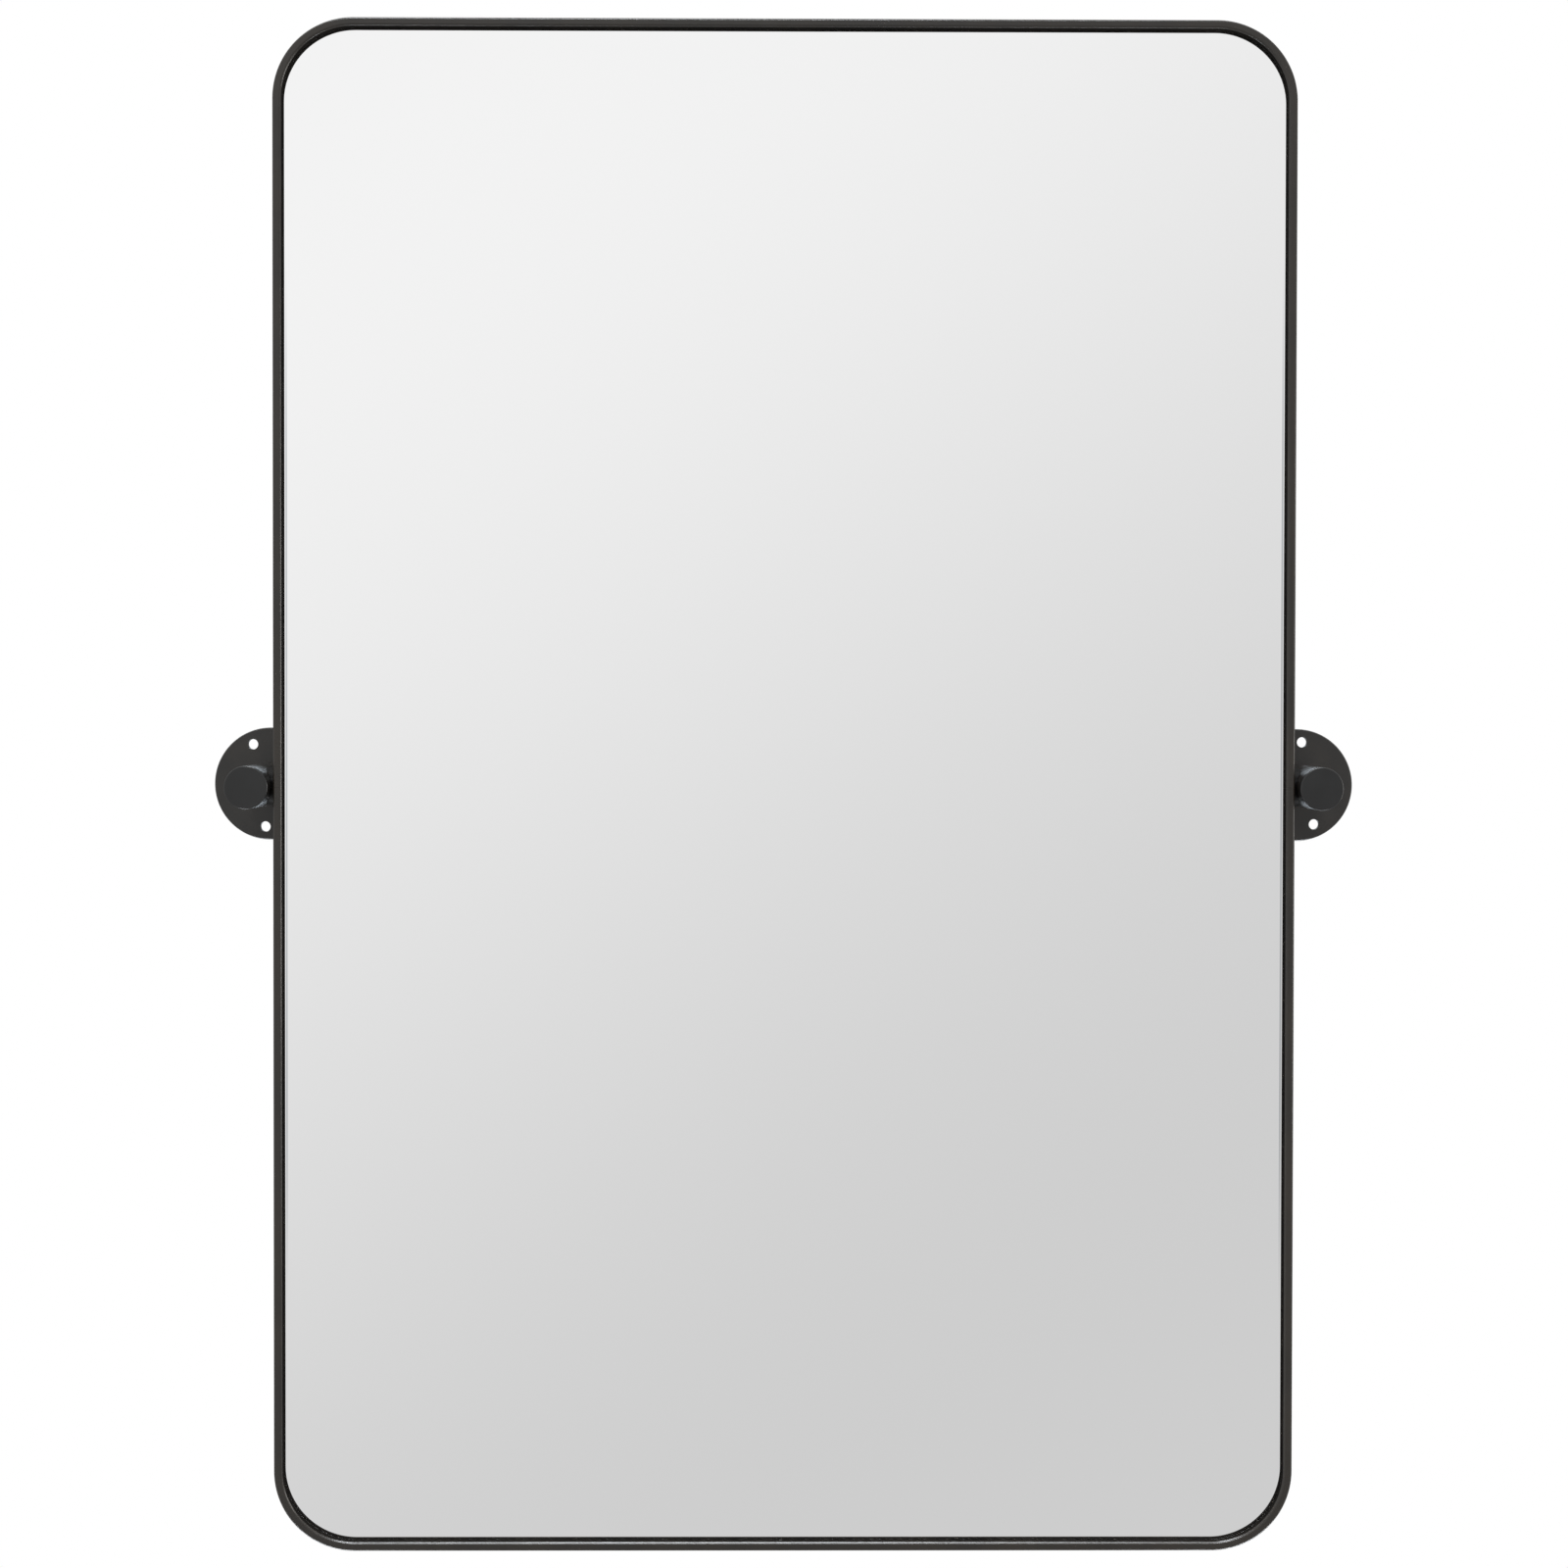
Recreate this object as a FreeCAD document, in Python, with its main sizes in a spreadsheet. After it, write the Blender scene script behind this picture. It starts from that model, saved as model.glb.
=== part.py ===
import FreeCAD, Part
import os
import re
import Sketcher

# Tilting wall mirror: a framed glass held between two wall brackets, which it tilts on.
# The wall is the plane y = 0 and the mirror faces -Y. The origin lies on the wall, midway between the
# brackets and level with the pivots. Reach is the distance from the wall towards the viewer.

# Driving dimensions, in millimetres and degrees
SIZES = {
    # Frame: two equal U-shaped halves of one profile, butted level with the pivots
    "frame_width": 610,
    "frame_height": 915,
    "frame_depth": 25,
    "corner_radius": 48,
    "face_width": 5.2,
    "nose_depth": 4.4,
    "side_wall": 2,
    "rear_lip_width": 10,
    "rear_lip_thickness": 2,
    "outer_rounding": 1.4,
    "inner_rounding": 1.6,
    "rear_rounding": 0.5,
    "seam_gap": 0.08,
    # Glass and what is stacked behind it
    "gasket_thickness": 0.6,
    "gasket_margin": 0.4,
    "glass_thickness": 4,
    "glass_clearance": 1,
    "film_thickness": 0.3,
    "film_margin": 2,
    "board_thickness": 3,
    "board_clearance": 1.5,
    "setting_pad_length": 40,
    "setting_pad_spacing": 300,
    # Bowed spring strips between board and rear lip
    "spring_length": 60,
    "spring_width": 7,
    "spring_thickness": 0.8,
    "spring_clearance": 0.1,
    "spring_edge_gap": 0.5,
    "rail_spring_spacing": 280,
    "spring_block_gap": 70,
    "spring_corner_gap": 60.5,
    # Pivot
    "pivot_reach": 42,
    "block_length": 100,
    "block_width": 14,
    "block_clearance": 0.1,
    "block_screw_end_gap": 11,
    "block_screw_diameter": 4,
    "block_screw_length": 8,
    "block_screw_head_diameter": 7,
    "block_screw_head_height": 2.2,
    "block_screw_head_rounding": 1.5,
    "block_screw_socket_size": 2.5,
    "block_screw_socket_depth": 1.2,
    "screw_hole_clearance": 0.2,
    "thread_clearance": 0.05,
    "running_clearance": 0.05,
    "face_gap": 0.1,
    "bolt_shoulder_diameter": 8,
    "bolt_thread_diameter": 6,
    "bolt_thread_length": 14,
    "bolt_head_diameter": 13,
    "bolt_head_height": 4.5,
    "bolt_head_bevel": 1.1,
    "bolt_socket_size": 5,
    "bolt_socket_depth": 2.5,
    "bush_diameter": 11,
    "bush_flange_diameter": 14,
    "bush_flange_thickness": 1,
    "bush_recess": 1.5,
    "press_clearance": 0.02,
    "spring_washer_diameter": 12.5,
    "spring_washer_thickness": 0.8,
    "spring_washer_clearance": 0.2,
    "counterbore_clearance": 0.5,
    "counterbore_depth": 8.5,
    # Collar between post and frame
    "collar_frame_diameter": 26,
    "collar_post_diameter": 17.5,
    "collar_gap": 0.2,
    "collar_bore_clearance": 0.15,
    "saddle_clearance": 0.1,
    # Wall bracket
    "post_diameter": 26,
    "post_clearance": 2.2,
    "post_web": 2.5,
    "cap_thickness": 2.5,
    "cap_rounding": 0.8,
    "cap_spigot_diameter": 10,
    "cap_spigot_length": 8,
    "cap_spigot_room": 1,
    "plate_diameter": 70,
    "plate_web": 0.3,
    "plate_bevel": 0.6,
    "wall_hole_diameter": 6.5,
    "wall_hole_edge": 8,
    "wall_hole_angle": 74,
    "plate_roll": 8.5,
    "post_screw_diameter": 5,
    "post_screw_head_diameter": 10,
    "post_screw_length": 16,
    "post_screw_room": 2,
    "post_screw_recess": 0.2,
    "post_screw_socket_size": 3,
    "post_screw_socket_depth": 1.6,
}
BLOCK_SCREWS = 4
SOCKET_SIDES = 6
# Edges closer than this to a wanted line lie on it
SAME_PLACE = 1e-4

# Worked-out places, as formulas of the sizes; reaches are distances from the wall
HALF_WIDTH = "(frame_width / 2)"
HALF_HEIGHT = "(frame_height / 2)"
GLASS_STACK = "(gasket_thickness + glass_thickness + film_thickness + board_thickness)"
BLOCK_ROOM = f"(frame_depth - nose_depth - rear_lip_thickness - {GLASS_STACK})"
BACK = f"(pivot_reach - {BLOCK_ROOM} / 2 - rear_lip_thickness)"
FRONT = f"({BACK} + frame_depth)"
LIP_FRONT = f"({BACK} + rear_lip_thickness)"
BOARD_BACK = f"({LIP_FRONT} + {BLOCK_ROOM})"
FILM_BACK = f"({BOARD_BACK} + board_thickness)"
GLASS_BACK = f"({FILM_BACK} + film_thickness)"
GLASS_FRONT = f"({GLASS_BACK} + glass_thickness)"
GLASS_INSET = "(side_wall + glass_clearance)"
LIP_MIDDLE_INSET = "((side_wall + rear_lip_width) / 2)"
BLOCK_OUTER_INSET = "(side_wall + block_clearance)"
BLOCK_HALF_THICKNESS = f"({BLOCK_ROOM} / 2 - block_clearance)"
BLOCK_SCREW_PITCH = f"((block_length - 2 * block_screw_end_gap) / {BLOCK_SCREWS - 1})"
INNER_STILE_SPRING = "(block_length / 2 + spring_block_gap + spring_length / 2)"
OUTER_STILE_SPRING = f"({HALF_HEIGHT} - corner_radius - spring_corner_gap - spring_length / 2)"
POST_RADIUS = "(post_diameter / 2)"
POST_OFFSET = f"(post_clearance + {POST_RADIUS})"
COUNTERBORE_RADIUS = (
    "(max(bush_flange_diameter; bolt_head_diameter; spring_washer_diameter) / 2 + counterbore_clearance)"
)
CAP_BACK = f"(pivot_reach + {COUNTERBORE_RADIUS} + post_web + cap_spigot_room + cap_spigot_length)"
CAP_FRONT = f"({CAP_BACK} + cap_thickness)"
BUSH_SEAT = f"({POST_OFFSET} + {POST_RADIUS} - counterbore_depth)"
WASHER_SEAT = f"({BUSH_SEAT} + bush_flange_thickness + face_gap)"
HEAD_SEAT = f"({WASHER_SEAT} + spring_washer_thickness + face_gap)"
POST_SCREW_HEAD_DEPTH = "((post_screw_head_diameter - post_screw_diameter) / 2)"
POST_SCREW_NECK = f"({POST_SCREW_HEAD_DEPTH} + post_screw_recess)"
PLATE_THICKNESS = f"({POST_SCREW_NECK} + plate_web)"
WALL_HOLE_CIRCLE = "(plate_diameter / 2 - wall_hole_edge)"

doc = FreeCAD.newDocument("tilting_wall_mirror")
sheet = doc.addObject("Spreadsheet::Sheet", "Sizes")
for row, (alias, value) in enumerate(SIZES.items(), start=1):
    sheet.set(f"A{row}", alias)
    sheet.set(f"B{row}", str(value))
    sheet.setAlias(f"B{row}", alias)
doc.recompute()

sub_parts = []


def bound(formula):
    """The formula with each size's name turned into a reference to its cell."""
    return re.sub(r"[a-z_]+", lambda word: f"Sizes.{word[0]}" if word[0] in SIZES else word[0], formula)


def worth(formula):
    """The formula's present value."""
    return float(sheet.evalExpression(bound(formula)))


def point(x, y):
    return FreeCAD.Vector(worth(x), worth(y), 0)


# Bodies and placements


def new_body(label):
    body = doc.addObject("PartDesign::Body", label)
    body.Label = label
    body.AllowCompound = True
    sub_parts.append(body)
    return body


def place(body, turned, x="0", reach="0", z="0"):
    """Puts a body built with +X outboard on the right side, or turned half round onto the left side."""
    sign = "-" if turned else ""
    body.Placement.Rotation = FreeCAD.Rotation(FreeCAD.Vector(0, 1, 0), 180 if turned else 0)
    body.setExpression("Placement.Base.x", bound(f"{sign}({x})"))
    body.setExpression("Placement.Base.y", bound(f"-({reach})"))
    body.setExpression("Placement.Base.z", bound(f"{sign}({z})"))


def place_at_post(body, turned):
    """Bracket pieces have their own origin where the post's axis meets the wall."""
    place(body, turned, x=f"{HALF_WIDTH} + {POST_OFFSET}")


def place_at_pivot(body, turned, x="0", z="0"):
    """Pivot pieces have their own origin where the pivot's axis meets the frame's side."""
    place(body, turned, x=f"{HALF_WIDTH} + {x}", reach="pivot_reach", z=z)


# Sketches


def origin_feature(body, role):
    """One of the body's own planes or axes."""
    return next(feature for feature in body.Origin.OriginFeatures if feature.Role == role)


def new_sketch(body, plane, offset="0"):
    """Sketch on one of the body's own planes, moved along that plane's normal."""
    sketch = body.newObject("Sketcher::SketchObject", f"{body.Name}_sketch")
    sketch.AttachmentSupport = [(origin_feature(body, plane), "")]
    sketch.MapMode = "FlatFace"
    sketch.setExpression("AttachmentOffset.Base.z", bound(offset))
    return sketch


def front_sketch(body, reach):
    """Sketch facing the viewer, x to the right and y up, at a reach from the wall."""
    return new_sketch(body, "XZ_Plane", reach)


def side_sketch(body, offset="0"):
    """Sketch facing +X, x towards the wall and y up."""
    return new_sketch(body, "YZ_Plane", offset)


def measure(sketch, kind, *places, formula):
    """Adds a dimension that follows a formula."""
    index = sketch.addConstraint(Sketcher.Constraint(kind, *places, worth(formula)))
    sketch.setExpression(f"Constraints[{index}]", bound(formula))


def fix_end(sketch, geometry, end, x, y):
    """Ties a point of the sketch to formulas for its coordinates."""
    measure(sketch, "DistanceX", -1, 1, geometry, end, formula=x)
    measure(sketch, "DistanceY", -1, 1, geometry, end, formula=y)


def rounding_start(corner, other):
    """Where a rounded corner's arc meets the side that leads to another corner."""
    x, y, radius = corner
    across = abs(worth(other[0]) - worth(x)) > abs(worth(other[1]) - worth(y))
    axis = 0 if across else 1
    sign = "+" if worth(other[axis]) > worth(corner[axis]) else "-"
    moved = f"({corner[axis]}) {sign} ({radius})"
    return (moved, y) if across else (x, moved)


def outline(sketch, corners):
    """Closed outline. A corner (x, y) is sharp, and (x, y, radius) is a square one that is rounded."""
    count = len(corners)
    arrivals, departures = [], []
    for index, corner in enumerate(corners):
        rounded = len(corner) == 3
        before, after = corners[index - 1], corners[(index + 1) % count]
        arrivals.append(rounding_start(corner, before) if rounded else corner)
        departures.append(rounding_start(corner, after) if rounded else corner)
    sides = []
    for index in range(count):
        start, end = point(*departures[index]), point(*arrivals[(index + 1) % count])
        sides.append(sketch.addGeometry(Part.LineSegment(start, end)))
    for index, corner in enumerate(corners):
        side_in, side_out = sides[index - 1], sides[index]
        fix_end(sketch, side_out, 1, *departures[index])
        if len(corner) == 2:
            sketch.addConstraint(Sketcher.Constraint("Coincident", side_in, 2, side_out, 1))
            continue
        start, end, tip = point(*arrivals[index]), point(*departures[index]), point(*corner[:2])
        centre = start + end - tip
        middle = centre + (tip - centre).normalize() * worth(corner[2])
        arc = sketch.addGeometry(Part.Arc(start, middle, end))
        fix_end(sketch, side_in, 2, *arrivals[index])
        sketch.addConstraint(Sketcher.Constraint("Tangent", side_in, 2, arc, 1))
        sketch.addConstraint(Sketcher.Constraint("Coincident", arc, 2, side_out, 1))


def circle(sketch, x, y, radius):
    ring = Part.Circle(point(x, y), FreeCAD.Vector(0, 0, 1), worth(radius))
    index = sketch.addGeometry(ring)
    fix_end(sketch, index, 3, x, y)
    measure(sketch, "Radius", index, formula=radius)


def hexagon(sketch, size):
    """Six-sided hole about the sketch's origin, given its size across flats."""
    step = 360 / SOCKET_SIDES
    radius = f"{size} / 2 / cos({step / 2})"
    angles = [step * side for side in range(SOCKET_SIDES)]
    outline(sketch, [(f"{radius} * cos({angle})", f"{radius} * sin({angle})") for angle in angles])


def rounded_sheet(sketch, inset):
    """The frame's whole rounded outline, drawn in by an inset."""
    x, y = f"({HALF_WIDTH} - {inset})", f"({HALF_HEIGHT} - {inset})"
    radius = f"(corner_radius - {inset})"
    outline(sketch, [(f"-{x}", f"-{y}", radius), (x, f"-{y}", radius), (x, y, radius), (f"-{x}", y, radius)])


def half_sheet(sketch, inset, foot):
    """The upper half of that outline, from a level foot upwards."""
    x, y = f"({HALF_WIDTH} - {inset})", f"({HALF_HEIGHT} - {inset})"
    radius = f"(corner_radius - {inset})"
    outline(sketch, [(f"-{x}", foot), (x, foot), (x, y, radius), (f"-{x}", y, radius)])


# Features


def pad(body, sketch, length):
    feature = body.newObject("PartDesign::Pad", f"{body.Name}_pad")
    feature.Profile = sketch
    feature.setExpression("Length", bound(length))
    return feature


def pocket(body, sketch, length):
    """Cuts against the sketch's normal, and makes sure that the cut took something away."""
    doc.recompute()
    before = body.Shape.Volume
    feature = body.newObject("PartDesign::Pocket", f"{body.Name}_pocket")
    feature.Profile = sketch
    feature.setExpression("Length", bound(length))
    doc.recompute()
    if not body.Shape.Volume < before:
        raise RuntimeError(f"{feature.Name} cuts nothing")
    return feature


def turned_piece(label, axis, profile):
    """Body of revolution about its own X axis (H_Axis) or Y axis (V_Axis)."""
    body = new_body(label)
    sketch = new_sketch(body, "XY_Plane")
    outline(sketch, profile)
    feature = body.newObject("PartDesign::Revolution", f"{body.Name}_revolution")
    feature.Profile = sketch
    feature.ReferenceAxis = (sketch, [axis])
    feature.Angle = 360
    return body


def runs_along(edge, inset):
    """Whether an edge follows the frame's outline at an inset."""
    curve, middle = edge.Curve, edge.CenterOfMass
    if isinstance(curve, Part.Circle):
        return abs(curve.Radius - worth(f"corner_radius - {inset}")) < SAME_PLACE
    on_stile = abs(abs(middle.x) - worth(f"{HALF_WIDTH} - {inset}")) < SAME_PLACE
    on_rail = abs(middle.z - worth(f"{HALF_HEIGHT} - {inset}")) < SAME_PLACE
    return on_stile or on_rail


def round_edges(body, reach, inset, radius):
    """Rounds the long edges of a frame half that lie at a reach from the wall and an inset."""
    doc.recompute()
    base = body.Tip
    names = []
    for index, edge in enumerate(base.Shape.Edges, start=1):
        level = all(abs(vertex.Y + worth(reach)) < SAME_PLACE for vertex in edge.Vertexes)
        if level and runs_along(edge, inset):
            names.append(f"Edge{index}")
    fillet = body.newObject("PartDesign::Fillet", f"{body.Name}_fillet")
    fillet.Base = (base, names)
    fillet.setExpression("Radius", bound(radius))


# Frame


def block_screw_heights():
    """Heights of the block screws about the pivot, lowest first."""
    return [f"({2 * k + 1 - BLOCK_SCREWS} / 2 * {BLOCK_SCREW_PITCH})" for k in range(BLOCK_SCREWS)]


def make_frame_half(label, turned):
    body = new_body(label)
    outer = front_sketch(body, BACK)
    half_sheet(outer, "0", "seam_gap / 2")
    pad(body, outer, "frame_depth")
    inside_lip = front_sketch(body, FRONT)
    half_sheet(inside_lip, "rear_lip_width", "0")
    pocket(body, inside_lip, "frame_depth")
    inside_face = front_sketch(body, FRONT)
    half_sheet(inside_face, "face_width", "0")
    pocket(body, inside_face, "frame_depth - rear_lip_thickness")
    rebate = front_sketch(body, f"{FRONT} - nose_depth")
    half_sheet(rebate, "side_wall", "0")
    pocket(body, rebate, "frame_depth - nose_depth - rear_lip_thickness")
    bolt_hole = side_sketch(body, HALF_WIDTH)
    circle(bolt_hole, "-pivot_reach", "0", "bolt_thread_diameter / 2 + screw_hole_clearance")
    pocket(body, bolt_hole, "frame_width")
    screw_holes = front_sketch(body, LIP_FRONT)
    for height in block_screw_heights()[BLOCK_SCREWS // 2:]:
        for sign in ("-", ""):
            x = f"{sign}({HALF_WIDTH} - {LIP_MIDDLE_INSET})"
            circle(screw_holes, x, height, "block_screw_diameter / 2 + screw_hole_clearance")
    pocket(body, screw_holes, "rear_lip_thickness")
    round_edges(body, FRONT, "0", "outer_rounding")
    round_edges(body, FRONT, "face_width", "inner_rounding")
    round_edges(body, BACK, "0", "rear_rounding")
    place(body, turned)


# Glass, its gasket and its backing


def make_sheet(label, inset, back, thickness):
    body = new_body(label)
    sketch = front_sketch(body, back)
    rounded_sheet(sketch, inset)
    pad(body, sketch, thickness)


def make_gasket():
    body = new_body("glass_gasket")
    sketch = front_sketch(body, GLASS_FRONT)
    rounded_sheet(sketch, "(side_wall + gasket_margin)")
    rounded_sheet(sketch, "(face_width - gasket_margin)")
    pad(body, sketch, "gasket_thickness")


def make_setting_pads():
    body = new_body("setting_pads")
    sketch = front_sketch(body, GLASS_BACK)
    foot, top = f"-({HALF_HEIGHT} - side_wall)", f"-({HALF_HEIGHT} - {GLASS_INSET})"
    for side in ("-", ""):
        left = f"({side}setting_pad_spacing / 2 - setting_pad_length / 2)"
        right = f"({left} + setting_pad_length)"
        outline(sketch, [(left, foot), (right, foot), (right, top), (left, top)])
    pad(body, sketch, "glass_thickness")


def spring_profile(sketch, middle, along_first):
    """Bowed strip seen edge on: its ends stand on the board and its crown bears on the rear lip."""
    feet = f"(-{BOARD_BACK} + spring_clearance)"
    rise = f"({BLOCK_ROOM} - 2 * spring_clearance - spring_thickness)"
    half = "(spring_length / 2)"
    radius = f"({half} * {half} + {rise} * {rise}) / (2 * {rise})"

    def spot(along, depth):
        return (along, depth) if along_first else (depth, along)

    tips = [f"({middle} - {half})", f"({middle} + {half})"]
    if along_first:
        tips.reverse()
    arcs, arc_ends = [], []
    for depth in (feet, f"({feet} + spring_thickness)"):
        ends = [spot(tip, depth) for tip in tips]
        crown = spot(middle, f"({depth} + {rise})")
        arc = sketch.addGeometry(Part.Arc(point(*ends[0]), point(*crown), point(*ends[1])))
        fix_end(sketch, arc, 1, *ends[0])
        fix_end(sketch, arc, 2, *ends[1])
        measure(sketch, "Radius", arc, formula=radius)
        arcs.append(arc)
        arc_ends.append(ends)
    for end, (inner, outer) in enumerate(zip(*arc_ends), start=1):
        edge = sketch.addGeometry(Part.LineSegment(point(*inner), point(*outer)))
        sketch.addConstraint(Sketcher.Constraint("Coincident", edge, 1, arcs[0], end))
        sketch.addConstraint(Sketcher.Constraint("Coincident", edge, 2, arcs[1], end))


def make_springs(label, plane, half_size, middles):
    """Strips along two opposite sides of the frame, under its rear lip."""
    body = new_body(label)
    inner = f"({half_size} - side_wall - spring_edge_gap - spring_width)"
    for offset in (inner, f"(-{inner} - spring_width)"):
        sketch = new_sketch(body, plane, offset)
        for middle in middles:
            spring_profile(sketch, middle, along_first=plane == "XY_Plane")
        pad(body, sketch, "spring_width")


# Pivots


def make_pivot_block(label, turned):
    body = new_body(label)
    outer, inner = f"(-{BLOCK_OUTER_INSET})", f"(-{BLOCK_OUTER_INSET} - block_width)"
    face = new_sketch(body, "XZ_Plane", f"-{BLOCK_HALF_THICKNESS}")
    foot, top = "(-block_length / 2)", "(block_length / 2)"
    outline(face, [(inner, foot), (outer, foot), (outer, top), (inner, top)])
    pad(body, face, f"2 * {BLOCK_HALF_THICKNESS}")
    bolt_hole = side_sketch(body)
    circle(bolt_hole, "0", "0", "bolt_thread_diameter / 2")
    pocket(body, bolt_hole, f"{BLOCK_OUTER_INSET} + block_width")
    screw_holes = new_sketch(body, "XZ_Plane", BLOCK_HALF_THICKNESS)
    for height in block_screw_heights():
        circle(screw_holes, f"-{LIP_MIDDLE_INSET}", height, "block_screw_diameter / 2")
    pocket(body, screw_holes, f"2 * {BLOCK_HALF_THICKNESS}")
    place_at_pivot(body, turned)


def make_block_screws(label, turned):
    """Button-head screws on the frame's rear lip, in a row up the block."""
    seat = f"({BLOCK_ROOM} / 2 + rear_lip_thickness)"
    top = f"({seat} + block_screw_head_height)"
    shank = "(block_screw_diameter / 2 - thread_clearance)"
    head = "(block_screw_head_diameter / 2)"
    tip = f"({seat} - block_screw_length)"
    profile = [
        ("0", tip),
        (shank, tip),
        (shank, seat),
        (head, seat),
        (head, top, "block_screw_head_rounding"),
        ("0", top),
    ]
    body = turned_piece(label, "V_Axis", profile)
    screw = body.Tip
    socket = new_sketch(body, "XZ_Plane", f"block_screw_socket_depth - {top}")
    hexagon(socket, "block_screw_socket_size")
    hole = pocket(body, socket, "block_screw_socket_depth")
    row = body.newObject("PartDesign::LinearPattern", f"{body.Name}_row")
    row.Originals = [screw, hole]
    row.Direction = (origin_feature(body, "Z_Axis"), [""])
    row.setExpression("Length", bound(f"{BLOCK_SCREWS - 1} * {BLOCK_SCREW_PITCH}"))
    row.Occurrences = BLOCK_SCREWS
    body.Tip = row
    place_at_pivot(body, turned, x=f"-{LIP_MIDDLE_INSET}", z=block_screw_heights()[0])


def make_pivot_bolt(label, turned):
    """Shoulder bolt: its thread is in the block, and its shoulder runs in the post's bush."""
    thread = "(bolt_thread_diameter / 2 - thread_clearance)"
    shoulder = "(bolt_shoulder_diameter / 2)"
    head = "(bolt_head_diameter / 2)"
    end = f"({HEAD_SEAT} + bolt_head_height)"
    profile = [
        ("-bolt_thread_length", "0"),
        (end, "0"),
        (end, f"({head} - bolt_head_bevel)"),
        (f"({end} - bolt_head_bevel)", head),
        (HEAD_SEAT, head),
        (HEAD_SEAT, shoulder),
        ("0", shoulder),
        ("0", thread),
        ("-bolt_thread_length", thread),
    ]
    body = turned_piece(label, "H_Axis", profile)
    socket = side_sketch(body, end)
    hexagon(socket, "bolt_socket_size")
    pocket(body, socket, "bolt_socket_depth")
    place_at_pivot(body, turned)


def make_ring(label, turned, start, end, inner, outer):
    """Plain ring about the pivot's axis."""
    body = turned_piece(label, "H_Axis", [(start, inner), (end, inner), (end, outer), (start, outer)])
    place_at_pivot(body, turned)


def make_bush(label, turned):
    """Flanged bearing bush, pressed into the post from its outer side."""
    start = f"({POST_OFFSET} - {POST_RADIUS} + bush_recess)"
    end = f"({BUSH_SEAT} + bush_flange_thickness)"
    bore = "(bolt_shoulder_diameter / 2 + running_clearance)"
    outer = "(bush_diameter / 2 - press_clearance)"
    flange = "(bush_flange_diameter / 2)"
    profile = [
        (start, bore),
        (end, bore),
        (end, flange),
        (BUSH_SEAT, flange),
        (BUSH_SEAT, outer),
        (start, outer),
    ]
    body = turned_piece(label, "H_Axis", profile)
    place_at_pivot(body, turned)


def make_collar(label, turned):
    """Spacer that narrows from the frame to the post's axis, with a saddle that fits the round post."""
    bore = "(bolt_shoulder_diameter / 2 + collar_bore_clearance)"
    profile = [
        ("collar_gap", bore),
        (POST_OFFSET, bore),
        (POST_OFFSET, "collar_post_diameter / 2"),
        ("collar_gap", "collar_frame_diameter / 2"),
    ]
    body = turned_piece(label, "H_Axis", profile)
    saddle = new_sketch(body, "XZ_Plane", "collar_frame_diameter")
    circle(saddle, POST_OFFSET, "0", f"{POST_RADIUS} + saddle_clearance")
    pocket(body, saddle, "2 * collar_frame_diameter")
    place_at_pivot(body, turned)


# Wall brackets


def make_post(label, turned):
    screw = "(post_screw_diameter / 2)"
    screw_end = "-(post_screw_length + post_screw_room)"
    spigot = "(cap_spigot_diameter / 2)"
    spigot_end = f"-({CAP_BACK} - cap_spigot_length - cap_spigot_room)"
    profile = [
        (screw, f"-{PLATE_THICKNESS}"),
        (screw, screw_end),
        ("0", screw_end),
        ("0", spigot_end),
        (spigot, spigot_end),
        (spigot, f"-{CAP_BACK}"),
        (POST_RADIUS, f"-{CAP_BACK}"),
        (POST_RADIUS, f"-{PLATE_THICKNESS}"),
    ]
    body = turned_piece(label, "V_Axis", profile)
    bush_hole = side_sketch(body, POST_RADIUS)
    circle(bush_hole, "-pivot_reach", "0", "bush_diameter / 2")
    pocket(body, bush_hole, "post_diameter")
    counterbore = side_sketch(body, POST_RADIUS)
    circle(counterbore, "-pivot_reach", "0", COUNTERBORE_RADIUS)
    pocket(body, counterbore, "counterbore_depth")
    place_at_post(body, turned)


def make_cap(label, turned):
    spigot = "(cap_spigot_diameter / 2 - press_clearance)"
    spigot_end = f"-({CAP_BACK} - cap_spigot_length)"
    profile = [
        ("0", spigot_end),
        ("0", f"-{CAP_FRONT}"),
        (POST_RADIUS, f"-{CAP_FRONT}", "cap_rounding"),
        (POST_RADIUS, f"-{CAP_BACK}"),
        (spigot, f"-{CAP_BACK}"),
        (spigot, spigot_end),
    ]
    body = turned_piece(label, "V_Axis", profile)
    place_at_post(body, turned)


def make_wall_plate(label, turned):
    radius = "(plate_diameter / 2)"
    hole = "(post_screw_diameter / 2 + screw_hole_clearance)"
    sink = "(post_screw_head_diameter / 2 + screw_hole_clearance)"
    profile = [
        (f"({radius} - plate_bevel)", f"-{PLATE_THICKNESS}"),
        (radius, f"-({PLATE_THICKNESS} - plate_bevel)"),
        (radius, "0"),
        (sink, "0"),
        (sink, "-post_screw_recess"),
        (hole, f"-{POST_SCREW_NECK}"),
        (hole, f"-{PLATE_THICKNESS}"),
    ]
    body = turned_piece(label, "V_Axis", profile)
    holes = front_sketch(body, PLATE_THICKNESS)
    for sign in ("-", "+"):
        angle = f"(plate_roll {sign} wall_hole_angle)"
        x, z = (f"{WALL_HOLE_CIRCLE} * {function}({angle})" for function in ("cos", "sin"))
        circle(holes, x, z, "wall_hole_diameter / 2")
    pocket(body, holes, PLATE_THICKNESS)
    place_at_post(body, turned)


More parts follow.
